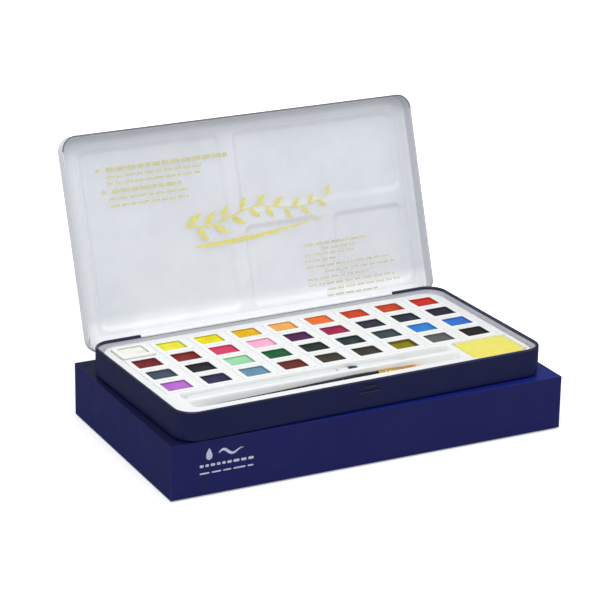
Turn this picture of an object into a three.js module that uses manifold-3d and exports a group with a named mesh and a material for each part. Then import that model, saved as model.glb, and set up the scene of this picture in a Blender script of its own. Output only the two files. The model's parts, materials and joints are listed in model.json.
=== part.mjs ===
// A watercolour pan set: a hinged sheet-metal paint tin with a moulded tray of
// half pans, a brush, a water brush and a sponge, standing on its own carton.
//
// Millimetres, +Z up. The origin is the middle of the carton's bottom face, +X runs
// along the carton's long side and -Y is the front. The tin stands slightly turned
// on the carton with its lid leaning back on its hinge.
import * as THREE from "three";
import { mergeVertices } from "three/addons/utils/BufferGeometryUtils.js";
import Module from "manifold-3d";

const wasm = await Module();
wasm.setup();

// ---------------------------------------------------------------- driving sizes

const BIG = 300; // longer than any piece, for cuts that run right through
const GAP = 0.3; // left between pieces that rest on one another

// Carton: a plain telescoping box. Its lid slides over the whole height of its base.
const CARTON_LENGTH = 226;
const CARTON_WIDTH = 125.2;
const CARTON_HEIGHT = 29.6;
const BOARD = 1.3;
const CARTON_PLAY = 0.5; // between the lid's walls and the base's walls
const CARTON_FOOT = 0.6; // the lid's lower edge stands this far off the table

// The tin's place on the carton.
const TIN_X = -2.4;
const TIN_Y = -4.9;
const TIN_TURN = THREE.MathUtils.degToRad(1.7);
const REST_GAP = 0.2;

// Tin base: half sizes of the outer wall, and of the middle of the bead curled inwards
// round its rim.
const WALL_X = 106.9;
const WALL_Y = 55.7;
const WALL_CORNER = 10.9;
const BEAD_X = 106.1;
const BEAD_Y = 54.9;
const BEAD_CORNER = 10.1;
const BASE_HEIGHT = 16;
const SHEET = 0.5;
const FLOOR_EDGE = 1.6; // radius between the floor and the walls
const BEAD = 0.9; // radius of the bead
// Two short lines pressed into the front wall, where the lid snaps on, as
// [left, right, bottom, top].
const CATCHES = [
  [-4, 3, 12.6, 13.4],
  [-7.5, 6, 9.6, 10.5],
];
const CATCH_DEPTH = 0.25;

// Hinge: a wire inside the rear bead. The lid's knuckle takes the middle of it.
const AXIS_Y = BEAD_Y;
const AXIS_Z = BASE_HEIGHT - BEAD;
const KNUCKLE = 77.2; // half length of the lid's knuckle
const KNUCKLE_GAP = 0.4;
const WIRE = 0.4; // radius
const WIRE_BORE = 0.65; // radius
const WIRE_HALF = 93;
const WIRE_END = 0.4; // free length of the bore past each end of the wire
const LID_LEAN = THREE.MathUtils.degToRad(108); // from closed to the open stop

// Tin lid, in its own frame: the hinge axis is the origin, the closed lid lies
// towards -Y and its hollow faces -Z.
const LID_X = 105.9; // half length
const LID_FAR = 109.4; // hinge axis to the front skirt
const LID_BACK = 5.4; // hinge axis to the rear skirt, which hangs behind the base
const LID_CORNER = 8;
const RIM_GAP = 0.3;
const LID_RIM = BEAD + RIM_GAP;
const LID_DEPTH = 9; // rim to the outside of the flat frame
const LEAF_START = -1.5; // behind this line the skirt is cut short, to clear the base
const LEAF = 3.3; // height of the hinge leaf, a strip from the knuckle to the rear skirt
const LID_EDGE = 2; // radius between the frame and the skirt
const WELL_DEPTH = 1.3;
const WELL_FLANK = 1.7;
const WELL_CORNER = 6;
// The mixing wells, as [left, right, nearest the hinge, farthest from it].
const WELLS = [
  [-95.5, -9.8, 4, 102],
  [-4.2, 98.5, 56, 102],
  [-4.2, 45.3, 4, 50],
  [51, 98.5, 4, 50],
];
const FILM = 0.3;
const FILM_CORNER = 3;
const FILM_MARGIN = 1.6; // the film covers the wells and this much round them

// Tray: a moulded insert with a pocket for every half pan.
const TRAY_X = 103.4;
const TRAY_REAR = 52.4;
const TRAY_FRONT = -53.2;
const TRAY_CORNER = 10.4;
const TRAY_TOP = 13.2;
const TRAY_BOTTOM = SHEET + GAP;
const TRAY_SKIN = 1.2;
// Hollows in its underside: how far the ones below the channels reach to the left and
// to the right, and how far the ones in its two ends reach back and forward.
const HOLLOW_LEFT = -90;
const HOLLOW_RIGHT = 98.4;
const HOLLOW_REAR = 40;
const HOLLOW_FRONT = -40;
const HOLLOW_BY_SPONGE = -18;

// Half pans: nine columns by four rows.
const COLUMNS = 9;
const ROWS = 4;
const PITCH_X = 22.23;
const PITCH_Y = 17.32;
const BACK_ROW_Y = 39.05;
const PAN_X = 19.2;
const PAN_Y = 15.8;
const PAN_HEIGHT = 9.7;
const PAN_CORNER = 0.9;
const PAN_PROUD = 0.4; // rim above the tray
const FIRST_PAN_PROUD = 1.4; // the back left pan isn't pushed home
const PAINT_X = 15;
const PAINT_Y = 12;
const PAINT_DOWN = 1.2; // dried paint below the pan's rim
const POCKET_PLAY = 0.3;

// The two long channels in front of the pans, and the sponge's well.
const CHANNEL_LEFT = -93;
const CHANNEL_RIGHT = 64;
const CHANNEL_CORNER = 2.5;
const REAR_CHANNEL = { front: -31, rear: -22.6, floor: 4.7 };
const FRONT_CHANNEL = { front: -43.2, rear: -34, floor: 6.3 };
const SPONGE = { left: 68, right: 100.6, front: -47.6, rear: -22.8, bottom: 6.2, top: 13.5 };
const SPONGE_CORNER = 3.5;
const SPONGE_EDGE = 0.8;
const SPONGE_PLAY = 0.6;

// Brush, lying along X: [distance from the middle of the tin, radius].
const BRUSH_Y = -38.6;
const BRUSH_Z = 9.9;
const BRUSH_HANDLE = [
  [-86, 0],
  [-85.7, 0.8],
  [-84, 1.2],
  [-58, 1.8],
  [-32, 2.6],
  [-8, 3.25],
  [2, 3.25],
  [10, 2.75],
  [13.6, 2.6],
  [13.6, 0],
];
const BRUSH_FERRULE = [
  [13.9, 0],
  [13.9, 2.75],
  [18.2, 2.75],
  [18.6, 2.5],
  [19.2, 2.5],
  [19.6, 2.75],
  [27.6, 2.35],
  [27.6, 0],
];
const BRUSH_HAIR = [
  [27.9, 0],
  [27.9, 2.1],
  [34, 2.45],
  [42, 1.75],
  [48, 0.75],
  [50.5, 0],
];

// Water brush, lying along X in the rear channel.
const WATER_Y = -26.8;
const WATER_Z = 8.8;
const WATER_BARREL = [
  [-90, 0],
  [-90, 2.6],
  [-89, 3.4],
  [-86, 3.8],
  [-6, 3.8],
  [-4, 3.4],
  [-4, 0],
];
const WATER_COLLAR = [
  [-3.7, 0],
  [-3.7, 3.3],
  [2.6, 3.3],
  [2.6, 3.7],
  [7.7, 3.7],
  [7.7, 2],
  [11, 1.7],
  [11, 0],
];
const WATER_BRISTLES = [
  [11.3, 0],
  [11.3, 1.4],
  [16, 1.6],
  [22, 0.6],
  [23.6, 0],
];
const WATER_CAP = [
  [8, 2.9],
  [8, 3.6],
  [30, 3.1],
  [34, 2.4],
  [34, 0],
  [33.2, 0],
  [33.2, 1.8],
  [29.6, 2.4],
];

// Paints, row by row from the back left: a plain name and a colour.
const PAINTS = [
  ["white", 0xeeeee4],
  ["lemon", 0xe8e43c],
  ["yellow", 0xe8da14],
  ["golden_yellow", 0xe6b414],
  ["light_orange", 0xf0af5a],
  ["orange", 0xeb732d],
  ["vermilion", 0xcd4123],
  ["scarlet", 0xc8411e],
  ["red", 0xc8281e],
  ["dark_red", 0x752328],
  ["red_brown", 0x80231e],
  ["crimson", 0xd73c64],
  ["pink", 0xfcafcd],
  ["purple", 0x551e55],
  ["magenta", 0xa5234b],
  ["violet_black", 0x322d3e],
  ["viridian_black", 0x2a323c],
  ["indigo_black", 0x2d2a3c],
  ["slate_blue", 0x414e5f],
  ["soft_black", 0x26242a],
  ["mint", 0x9bd7aa],
  ["green", 0x195f32],
  ["dark_green", 0x233230],
  ["dark_teal", 0x263434],
  ["teal_grey", 0x37484b],
  ["sky_blue", 0x2d82d2],
  ["blue", 0x326ec8],
  ["lilac", 0xb469c8],
  ["navy", 0x2d2d50],
  ["grey_blue", 0x6991aa],
  ["brown", 0x6e2d23],
  ["olive_brown", 0x413c30],
  ["grey_brown", 0x3e3a34],
  ["olive_yellow", 0x8c8214],
  ["grey", 0x5f5f5f],
  ["black", 0x282826],
];

// ---------------------------------------------------------------- materials

const finish = (color, roughness, metalness = 0) =>
  new THREE.MeshStandardMaterial({ color, roughness, metalness });

const cartonBlue = finish(0x26245a, 0.4);
const navyEnamel = finish(0x20223f, 0.35, 0.3);
const whiteEnamel = finish(0xdcdfe4, 0.3, 0.2);
const wireSteel = finish(0xb8babd, 0.3, 1);
const whitePlastic = finish(0xf0f1ef, 0.5);
const clearFilm = finish(0xe6e7ea, 0.15);
const blackLacquer = finish(0x18181a, 0.2);
const ferruleGold = finish(0xd19a3c, 0.3, 1);
const brushHair = finish(0xd9913f, 0.8);
const frostedPlastic = finish(0xe9ebea, 0.35);
const blackRubber = finish(0x1a1a1c, 0.6);
const whiteBristle = finish(0xf2eede, 0.7);
const spongeYellow = finish(0xebe669, 0.9);

// ---------------------------------------------------------------- solid helpers

// A closed geometry as a solid that can be joined and cut.
function solid(geometry) {
  const plain = geometry.clone();
  plain.deleteAttribute("normal");
  plain.deleteAttribute("uv");
  const merged = mergeVertices(plain, 1e-4);
  return new wasm.Manifold(
    new wasm.Mesh({
      numProp: 3,
      vertProperties: merged.attributes.position.array,
      triVerts: new Uint32Array(merged.index.array),
    }),
  );
}

// A solid as a named mesh.
function meshOf(name, body, material) {
  const data = body.getMesh();
  const geometry = new THREE.BufferGeometry();
  geometry.setAttribute("position", new THREE.BufferAttribute(data.vertProperties, 3));
  geometry.setIndex(new THREE.BufferAttribute(data.triVerts, 1));
  geometry.computeVertexNormals();
  const mesh = new THREE.Mesh(geometry, material);
  mesh.name = name;
  return mesh;
}

const join = (first, ...others) => others.reduce((all, one) => all.add(one), first);
const cut = (first, ...others) => others.reduce((all, one) => all.subtract(one), first);

// An upright rectangle in plan, from its four sides, with round corners.
function outline(left, right, front, rear, corner) {
  const shape = new THREE.Shape();
  shape.moveTo(left + corner, front);
  shape.absarc(right - corner, front + corner, corner, -Math.PI / 2, 0);
  shape.absarc(right - corner, rear - corner, corner, 0, Math.PI / 2);
  shape.absarc(left + corner, rear - corner, corner, Math.PI / 2, Math.PI);
  shape.absarc(left + corner, front + corner, corner, Math.PI, 1.5 * Math.PI);
  shape.closePath();
  return shape;
}

// A straight-sided block on an outline.
function block(shape, bottom, top, curveSegments = 6) {
  const geometry = new THREE.ExtrudeGeometry(shape, {
    depth: top - bottom,
    bevelEnabled: false,
    curveSegments,
  });
  return solid(geometry.translate(0, 0, bottom));
}

// A block whose upper and lower edges are rounded, or cut flat with one segment.
function softBlock(shape, bottom, top, size, rise, bevelSegments, curveSegments = 6) {
  const geometry = new THREE.ExtrudeGeometry(shape, {
    depth: top - bottom - 2 * rise,
    bevelSize: size,
    bevelOffset: -size,
    bevelThickness: rise,
    bevelSegments,
    curveSegments,
  });
  return solid(geometry.translate(0, 0, bottom + rise));
}

function box(left, right, front, rear, bottom, top) {
  const geometry = new THREE.BoxGeometry(right - left, rear - front, top - bottom);
  geometry.translate((left + right) / 2, (front + rear) / 2, (bottom + top) / 2);
  return solid(geometry);
}

// A round bar along X, centred on a line at (y, z).
function rod(radius, left, right, y, z, segments = 12) {
  const geometry = new THREE.CylinderGeometry(radius, radius, right - left, segments);
  geometry.rotateZ(Math.PI / 2);
  return solid(geometry.translate((left + right) / 2, y, z));
}

// A turned piece along X, from [distance, radius] points.
function turned(points, y, z, segments = 16) {
  const profile = points.map(([along, radius]) => new THREE.Vector2(radius, along));
  const geometry = new THREE.LatheGeometry(profile, segments);
  geometry.rotateZ(-Math.PI / 2);
  return solid(geometry.translate(0, y, z));
}

// ---------------------------------------------------------------- carton

function cartonBase() {
  const x = CARTON_LENGTH / 2 - BOARD - CARTON_PLAY;
  const y = CARTON_WIDTH / 2 - BOARD - CARTON_PLAY;
  const top = CARTON_HEIGHT - BOARD - GAP;
  const body = cut(
    box(-x, x, -y, y, 0, top),
    box(BOARD - x, x - BOARD, BOARD - y, y - BOARD, BOARD, BIG),
  );
  return meshOf("carton_base", body, cartonBlue);
}

function cartonLid() {
  const x = CARTON_LENGTH / 2;
  const y = CARTON_WIDTH / 2;
  const roof = CARTON_HEIGHT - BOARD;
  const body = cut(
    box(-x, x, -y, y, CARTON_FOOT, CARTON_HEIGHT),
    box(BOARD - x, x - BOARD, BOARD - y, y - BOARD, -BIG, roof),
  );
  return meshOf("carton_lid", body, cartonBlue);
}

// ---------------------------------------------------------------- tin base

// The curled bead: a round-edged ring, almost flush with the outside of the wall.
function rimBead() {
  const core = 0.05;
  const line = (out) =>
    outline(-BEAD_X - out, BEAD_X + out, -BEAD_Y - out, BEAD_Y + out, BEAD_CORNER + out);
  const ring = line(core);
  ring.holes.push(line(-core));
  const geometry = new THREE.ExtrudeGeometry(ring, {
    depth: 2 * core,
    bevelSize: BEAD - core,
    bevelThickness: BEAD - core,
    bevelSegments: 3,
    curveSegments: 6,
  });
  return solid(geometry.translate(0, 0, BASE_HEIGHT - BEAD - core));
}

function tinShell() {
  const outer = outline(-WALL_X, WALL_X, -WALL_Y, WALL_Y, WALL_CORNER);
  const x = WALL_X - SHEET;
  const y = WALL_Y - SHEET;
  const inner = outline(-x, x, -y, y, WALL_CORNER - SHEET);
  const rim = BASE_HEIGHT - BEAD;
  const above = FLOOR_EDGE + 1; // the upper bevel of each block is cut away or unused
  const edge = FLOOR_EDGE - SHEET;
  return cut(
    softBlock(outer, 0, rim + above, FLOOR_EDGE, FLOOR_EDGE, 3),
    softBlock(inner, SHEET, rim + 2 * above, edge, edge, 3),
    box(-BIG, BIG, -BIG, BIG, rim, BIG),
  );
}

function catchLine([left, right, bottom, top]) {
  return box(left, right, -BIG, -WALL_Y + CATCH_DEPTH, bottom, top);
}

function tinBase() {
  const gap = KNUCKLE + KNUCKLE_GAP;
  const under = AXIS_Z - BEAD - KNUCKLE_GAP;
  const body = cut(
    join(tinShell(), rimBead()),
    box(-gap, gap, AXIS_Y - 2 * BEAD, AXIS_Y + 2 * BEAD, under, BIG),
    rod(WIRE_BORE, -WIRE_HALF - WIRE_END, WIRE_HALF + WIRE_END, AXIS_Y, AXIS_Z),
    ...CATCHES.map(catchLine),
  );
  return meshOf("tin_base", body, navyEnamel);
}

function hingeWire() {
  return meshOf("hinge_wire", rod(WIRE, -WIRE_HALF, WIRE_HALF, AXIS_Y, AXIS_Z), wireSteel);
}

// ---------------------------------------------------------------- tin lid

// One pressed well, as a block that narrows away from the lid's hollow.
function wellBlock([left, right, near, far], level, grow) {
  const shape = outline(left - grow, right + grow, -far - grow, -near + grow, WELL_CORNER);
  const foot = level - 3 * WELL_DEPTH; // inside the lid's hollow, where there is nothing to cut
  return softBlock(shape, foot, level + WELL_DEPTH, WELL_FLANK, WELL_DEPTH, 1, 4);
}

// The strip that closes the lid's overhang behind the hinge.
function hingeLeaf() {
  const x = LID_X - LID_CORNER;
  return box(-x, x, -SHEET, LID_BACK - SHEET / 2, LEAF, LEAF + SHEET);
}

// The lid's edge round the hinge wire, with the web that carries it.
function knuckle() {
  const web = box(-KNUCKLE, KNUCKLE, -SHEET, 0, 0, LEAF + SHEET / 2);
  return cut(join(rod(BEAD, -KNUCKLE, KNUCKLE, 0, 0), web), rod(WIRE_BORE, -BIG, BIG, 0, 0));
}

function tinLid() {
  const top = LID_RIM + LID_DEPTH;
  const place = (inset, corner) =>
    outline(-LID_X + inset, LID_X - inset, -LID_FAR + inset, LID_BACK - inset, corner);
  const outer = softBlock(place(0, LID_CORNER), -LID_EDGE, top, LID_EDGE, LID_EDGE, 3);
  const edge = LID_EDGE - SHEET;
  const hollow = softBlock(
    place(SHEET, LID_CORNER - SHEET),
    -2 * LID_EDGE,
    top - SHEET,
    edge,
    edge,
    3,
  );
  const raised = WELLS.map((well) => wellBlock(well, top, SHEET * 0.6));
  const wells = WELLS.map((well) => wellBlock(well, top - SHEET, 0));
  const body = cut(
    join(outer, ...raised),
    box(-BIG, BIG, -BIG, BIG, -BIG, LID_RIM),
    box(-BIG, BIG, LEAF_START, BIG, -BIG, LEAF),
    hollow,
    ...wells,
  );
  return meshOf("tin_lid", join(body, hingeLeaf(), knuckle()), whiteEnamel);
}

// The clear printed film over the wells, just off the lid's inner frame.
function printedFilm() {
  const left = WELLS[0][0] - FILM_MARGIN;
  const right = WELLS[1][1] + FILM_MARGIN;
  const near = WELLS[0][2] - FILM_MARGIN;
  const far = WELLS[0][3] + FILM_MARGIN;
  const top = LID_RIM + LID_DEPTH - SHEET - GAP;
  const body = block(outline(left, right, -far, -near, FILM_CORNER), top - FILM, top, 3);
  return meshOf("printed_film", body, clearFilm);
}

// ---------------------------------------------------------------- tray and its contents

const panX = (column) => (column - (COLUMNS - 1) / 2) * PITCH_X;
const panY = (row) => BACK_ROW_Y - row * PITCH_Y;

function tray() {
  const shape = outline(-TRAY_X, TRAY_X, TRAY_FRONT, TRAY_REAR, TRAY_CORNER);
  const x = PAN_X / 2 + POCKET_PLAY;
  const y = PAN_Y / 2 + POCKET_PLAY;
  const floor = TRAY_TOP + PAN_PROUD - PAN_HEIGHT - POCKET_PLAY;
  const cuts = [];
  for (let row = 0; row < ROWS; row++)
    for (let column = 0; column < COLUMNS; column++) {
      const cx = panX(column);
      const cy = panY(row);
      cuts.push(box(cx - x, cx + x, cy - y, cy + y, floor, BIG));
    }
  for (const { front, rear, floor: level } of [REAR_CHANNEL, FRONT_CHANNEL])
    cuts.push(
      block(outline(CHANNEL_LEFT, CHANNEL_RIGHT, front, rear, CHANNEL_CORNER), level, BIG, 3),
    );
  const s = SPONGE;
  const p = SPONGE_PLAY;
  cuts.push(
    block(
      outline(s.left - p, s.right + p, s.front - p, s.rear + p, SPONGE_CORNER),
      s.bottom - POCKET_PLAY,
      BIG,
      3,
    ),
  );
  // The underside is hollow below the channels and the sponge, and round the edge.
  const low = Math.min(REAR_CHANNEL.floor, s.bottom - POCKET_PLAY) - TRAY_SKIN;
  const under = TRAY_TOP - TRAY_SKIN;
  const side = panX(0) - x - TRAY_SKIN;
  cuts.push(
    box(HOLLOW_LEFT, HOLLOW_RIGHT, REAR_CHANNEL.front, REAR_CHANNEL.rear, -BIG, low),
    box(HOLLOW_LEFT, CHANNEL_RIGHT, FRONT_CHANNEL.front, FRONT_CHANNEL.rear, -BIG, low),
    box(-TRAY_X + TRAY_SKIN, side, HOLLOW_FRONT, HOLLOW_REAR, -BIG, under),
    box(-side, TRAY_X - TRAY_SKIN, HOLLOW_BY_SPONGE, HOLLOW_REAR, -BIG, under),
  );
  const body = cut(block(shape, TRAY_BOTTOM, TRAY_TOP), ...cuts);
  return meshOf("tray", body, whitePlastic);
}

// A half pan with its dried paint: a small tub filled to just under its rim.
function halfPan(index) {
  const [name, color] = PAINTS[index];
  const row = Math.floor(index / COLUMNS);
  const column = index % COLUMNS;
  const proud = index === 0 ? FIRST_PAN_PROUD : PAN_PROUD;
  const x = PAN_X / 2;
  const y = PAN_Y / 2;
  const body = cut(
    block(outline(-x, x, -y, y, PAN_CORNER), 0, PAN_HEIGHT, 1),
    box(
      -PAINT_X / 2,
      PAINT_X / 2,
      -PAINT_Y / 2,
      PAINT_Y / 2,
      PAN_HEIGHT - PAINT_DOWN,
      BIG,
    ),
  );
  const number = String(index + 1).padStart(2, "0");
  const mesh = meshOf("pan_" + number + "_" + name, body, finish(color, 0.6));
  mesh.position.set(panX(column), panY(row), TRAY_TOP + proud - PAN_HEIGHT);
  return mesh;
}

function brush() {
  const group = new THREE.Group();
  const piece = (name, points, material) =>
    group.add(meshOf(name, turned(points, BRUSH_Y, BRUSH_Z), material));
  piece("brush_handle", BRUSH_HANDLE, blackLacquer);
  piece("brush_ferrule", BRUSH_FERRULE, ferruleGold);
  piece("brush_hair", BRUSH_HAIR, brushHair);
  return group;
}

function waterBrush() {
  const group = new THREE.Group();
  const piece = (name, points, material) =>
    group.add(meshOf(name, turned(points, WATER_Y, WATER_Z), material));
  piece("water_brush_barrel", WATER_BARREL, frostedPlastic);
  piece("water_brush_collar", WATER_COLLAR, blackRubber);
  piece("water_brush_bristles", WATER_BRISTLES, whiteBristle);
  piece("water_brush_cap", [...WATER_CAP, WATER_CAP[0]], frostedPlastic);
  return group;
}

function sponge() {
  const { left, right, front, rear, bottom, top } = SPONGE;
  const shape = outline(left, right, front, rear, SPONGE_CORNER);
  const body = softBlock(shape, bottom, top, SPONGE_EDGE, SPONGE_EDGE, 2, 4);
  return meshOf("sponge", body, spongeYellow);
}

// ---------------------------------------------------------------- assembly

function openLid() {
  const group = new THREE.Group();
  group.add(tinLid(), printedFilm());
  group.position.set(0, AXIS_Y, AXIS_Z);
  group.rotation.x = -LID_LEAN;
  return group;
}

function paintTin() {
  const group = new THREE.Group();
  group.add(tinBase(), hingeWire(), openLid(), tray(), brush(), waterBrush(), sponge());
  PAINTS.forEach((_, index) => group.add(halfPan(index)));
  group.position.set(TIN_X, TIN_Y, CARTON_HEIGHT + REST_GAP);
  group.rotation.z = TIN_TURN;
  return group;
}

const panSet = new THREE.Group();
panSet.add(cartonBase(), cartonLid(), paintTin());

export default panSet;
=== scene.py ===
"""Looks of a watercolour pan set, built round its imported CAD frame.

Shapes are written in millimetres, in the tin's own frame, the lid's or the carton's,
and build() turns them into metres in the row's frame.
"""
import json
from math import atan2, cos, pi, radians, sin, sqrt, tau
import random

import bmesh
import bpy
import numpy as np
from mathutils import Matrix, Quaternion, Vector, noise


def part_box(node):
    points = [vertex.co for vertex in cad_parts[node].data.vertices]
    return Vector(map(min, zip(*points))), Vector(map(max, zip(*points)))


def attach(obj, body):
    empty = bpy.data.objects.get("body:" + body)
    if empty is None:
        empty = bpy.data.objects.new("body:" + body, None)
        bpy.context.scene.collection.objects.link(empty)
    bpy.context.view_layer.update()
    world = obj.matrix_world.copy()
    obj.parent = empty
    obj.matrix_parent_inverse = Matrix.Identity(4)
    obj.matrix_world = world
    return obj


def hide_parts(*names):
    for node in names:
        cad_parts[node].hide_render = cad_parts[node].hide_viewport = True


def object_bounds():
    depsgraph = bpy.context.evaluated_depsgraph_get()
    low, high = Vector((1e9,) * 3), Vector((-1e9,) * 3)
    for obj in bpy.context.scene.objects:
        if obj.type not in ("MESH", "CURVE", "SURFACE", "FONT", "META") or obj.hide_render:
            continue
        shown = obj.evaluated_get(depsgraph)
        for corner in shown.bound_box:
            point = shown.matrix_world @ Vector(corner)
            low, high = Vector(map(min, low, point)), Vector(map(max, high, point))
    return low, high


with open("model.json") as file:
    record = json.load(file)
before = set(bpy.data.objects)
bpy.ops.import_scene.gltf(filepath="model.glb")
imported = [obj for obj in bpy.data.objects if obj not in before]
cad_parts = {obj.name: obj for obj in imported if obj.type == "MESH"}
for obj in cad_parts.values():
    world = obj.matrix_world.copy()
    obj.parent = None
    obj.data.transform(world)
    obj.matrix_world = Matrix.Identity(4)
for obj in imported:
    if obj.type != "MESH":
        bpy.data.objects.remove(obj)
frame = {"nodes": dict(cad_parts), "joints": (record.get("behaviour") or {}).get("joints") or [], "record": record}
cad_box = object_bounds()

# ---------------- frames and sizes

MM = 0.001
record = frame["record"]
joints = {joint["name"]: joint for joint in frame["joints"]}
colour_of = {entry["slot"]: entry["base_color"][:3] for entry in record["materials"]}
slot_of = {entry["node"]: entry["material_slot"] for entry in record["subparts"]}
members_of = record["behaviour"]["bodies"]
body_of = {node: body for body, nodes in members_of.items() for node in nodes}


def placed(origin, along, up):
    """A frame with its +X along one direction and its +Z along another."""
    x, z = Vector(along).normalized(), Vector(up).normalized()
    rows = Matrix((x, z.cross(x), z)).transposed().to_4x4()
    return Matrix.Translation(origin) @ rows


lid_hinge = joints["case_lid_hinge"]
ALONG = -Vector(lid_hinge["axis"])
LEAN = radians(-lid_hinge["range_deg"][0])
tin_low, tin_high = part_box("tin_base")
tin_middle = (tin_low + tin_high) / 2
TIN = placed(Vector((tin_middle.x, tin_middle.y, tin_low.z)), ALONG, (0, 0, 1))
LID = placed(Vector(lid_hinge["pos_m"]), ALONG, (0, 0, 1)) @ Matrix.Rotation(-LEAN, 4, "X")


def span(node, place=TIN):
    """A node's lowest and highest corners in a frame, in millimetres."""
    back = place.inverted()
    points = np.array([back @ v.co for v in frame["nodes"][node].data.vertices]) / MM
    return Vector(points.min(0)), Vector(points.max(0))


def standing(node):
    """A node's size in millimetres, and a frame at the middle of its underside."""
    low, high = span(node)
    foot = Vector(((low.x + high.x) / 2, (low.y + high.y) / 2, low.z))
    return high - low, TIN @ Matrix.Translation(foot * MM)


PANS = sorted(node for node in frame["nodes"] if node.startswith("pan_"))
SHEET = 0.5  # thickness of the tin's sheet metal
HINGE = TIN.inverted() @ Vector(lid_hinge["pos_m"]) / MM
BEAD = 0.9  # radius of the curled bead
WALL_X = span("tin_base")[1].x
WALL_Y = HINGE.y + BEAD
WALL_CORNER = 11
FLOOR_EDGE = 1.6  # radius of the edge between the tin's floor and its wall
KNUCKLE_LOW, KNUCKLE_HIGH = -77.2, 77.2
KNUCKLE_GAP = 0.4
LID_CORNER = 8
LID_EDGE = 2  # radius of the edge between the lid's top and its skirt
# The lid's wells, as (left, right, farthest from the hinge, nearest).
WELLS = [
    (-95.5, -9.8, -102, -4),
    (-4.2, 98.5, -102, -56),
    (-4.2, 45.3, -50, -4),
    (51, 98.5, -50, -4),
]
WELL_DEPTH = 1.3
WELL_FLANK = 3.4
WELL_CORNER = 6
TRAY_CORNER = 10.4
TRAY_SKIN = 0.6
TRAY_FIRM = 0.6  # share of each corner in which the tray's grid stays square, for the pockets there
# The two long channels: (left, right, front, rear), floor.
CHANNELS = [((-93, 64, -31, -22.6), 4.7), ((-93, 64, -43.2, -34), 6.3)]


# ---------------- mesh building


class Shape:
    """Closed parts gathered into one mesh, in millimetres, each face with its material."""

    def __init__(self, points=(), faces=(), paint=None):
        self.points = []
        self.faces = []
        self.paints = []
        self.add(points, faces, paint)

    def add(self, points, faces, paint):
        """Adds a part in one material, or in one for each face."""
        start = len(self.points)
        self.points.extend(tuple(map(float, point)) for point in points)
        self.faces.extend([start + index for index in face] for face in faces)
        self.paints.extend(paint if isinstance(paint, list) else [paint] * len(faces))


def to_mesh(name, shape, place, sharp=40):
    mesh = bpy.data.meshes.new(name)
    mesh.from_pydata(shape.points, [], shape.faces)
    materials = list(dict.fromkeys(shape.paints))
    for material in materials:
        mesh.materials.append(material)
    mesh.polygons.foreach_set("material_index", [materials.index(paint) for paint in shape.paints])
    work = bmesh.new()
    work.from_mesh(mesh)
    bmesh.ops.recalc_face_normals(work, faces=work.faces)
    work.to_mesh(mesh)
    work.free()
    mesh.transform(place @ Matrix.Scale(MM, 4))
    mesh.shade_smooth()
    mesh.set_sharp_from_angle(angle=radians(sharp))
    return mesh


def linked(name, data):
    piece = bpy.data.objects.new(name, data)
    bpy.context.scene.collection.objects.link(piece)
    return piece


def hang(name, mesh, node):
    """Makes a piece from a mesh and hangs it on the body of a CAD node."""
    piece = linked(name, mesh)
    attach(piece, body_of[node])
    return piece


def build(node, shape, place=TIN, sharp=40):
    """Makes the finer piece that stands for a CAD node."""
    name = node + "_fine"
    piece = hang(name, to_mesh(name, shape, place, sharp), node)
    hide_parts(node)
    return piece


def strip(first, second):
    """Quads between two closed rings of indices."""
    turn = [(i, (i + 1) % len(first)) for i in range(len(first))]
    return [(first[i], first[j], second[j], second[i]) for i, j in turn]


def loft(rings):
    """A closed solid through rings of equal count, with flat ends."""
    count = len(rings[0])
    hoops = [range(index * count, (index + 1) * count) for index in range(len(rings))]
    faces = [face for pair in zip(hoops, hoops[1:]) for face in strip(*pair)]
    return np.concatenate(rings), [*faces, tuple(reversed(hoops[0])), tuple(hoops[-1])]


def turned(profile, y, z, segments=48):
    """A round piece along X, from (distance, radius) points."""
    angles = np.arange(segments) * tau / segments
    around = np.column_stack([np.zeros(segments), np.cos(angles), np.sin(angles)])
    return loft([np.array([x, y, z]) + max(r, 0.01) * around for x, r in profile])


def soften(points, rounds=2):
    """Cuts the corners of an open outline, so that it runs smoothly."""
    points = np.array(points, float)
    for _ in range(rounds):
        near = 0.75 * points[:-1] + 0.25 * points[1:]
        far = 0.25 * points[:-1] + 0.75 * points[1:]
        inner = np.stack([near, far], 1).reshape(-1, points.shape[1])
        points = np.concatenate([points[:1], inner, points[-1:]])
    return points


def box_ring(half_x, half_y, corner, z, steps=6):
    """A level rectangle with round corners, centred on the origin."""
    points = []
    for index, (sx, sy) in enumerate([(1, 1), (-1, 1), (-1, -1), (1, -1)]):
        for angle in np.linspace(0, pi / 2, steps) + index * pi / 2:
            x = sx * (half_x - corner) + corner * cos(angle)
            y = sy * (half_y - corner) + corner * sin(angle)
            points.append((x, y, z))
    return np.array(points)


def slab(outline, low, high):
    """A flat plate from an outline in plan."""
    flat = [np.column_stack([outline, np.full(len(outline), z)]) for z in (low, high)]
    return loft(flat)


def stroke(path, widths, low, high):
    """A flat ribbon along a path in plan, as wide at each point as widths says."""
    path = np.array(path, float)
    heading = np.gradient(path, axis=0)
    heading /= np.linalg.norm(heading, axis=1)[:, None]
    side = np.column_stack([-heading[:, 1], heading[:, 0]]) * np.array(widths)[:, None] / 2
    left, right = path + side, path - side
    rings = [
        np.array([(*a, low), (*b, low), (*b, high), (*a, high)]) for a, b in zip(left, right)
    ]
    return loft(rings)


def grid_lines(low, high, step, edges, reach, fine):
    """Positions from low to high, a step apart and closer together within reach of each edge."""
    wide = np.linspace(low, high, 1 + round((high - low) / step))
    near = [np.arange(edge - reach, edge + reach + fine / 2, fine) for edge in edges]
    every = np.sort(np.concatenate([wide, *near]))
    kept = [low]
    for position in every:
        if position - kept[-1] > 0.7 * fine and high - position > 0.7 * fine:
            kept.append(float(position))
    return np.array([*kept, high])


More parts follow.
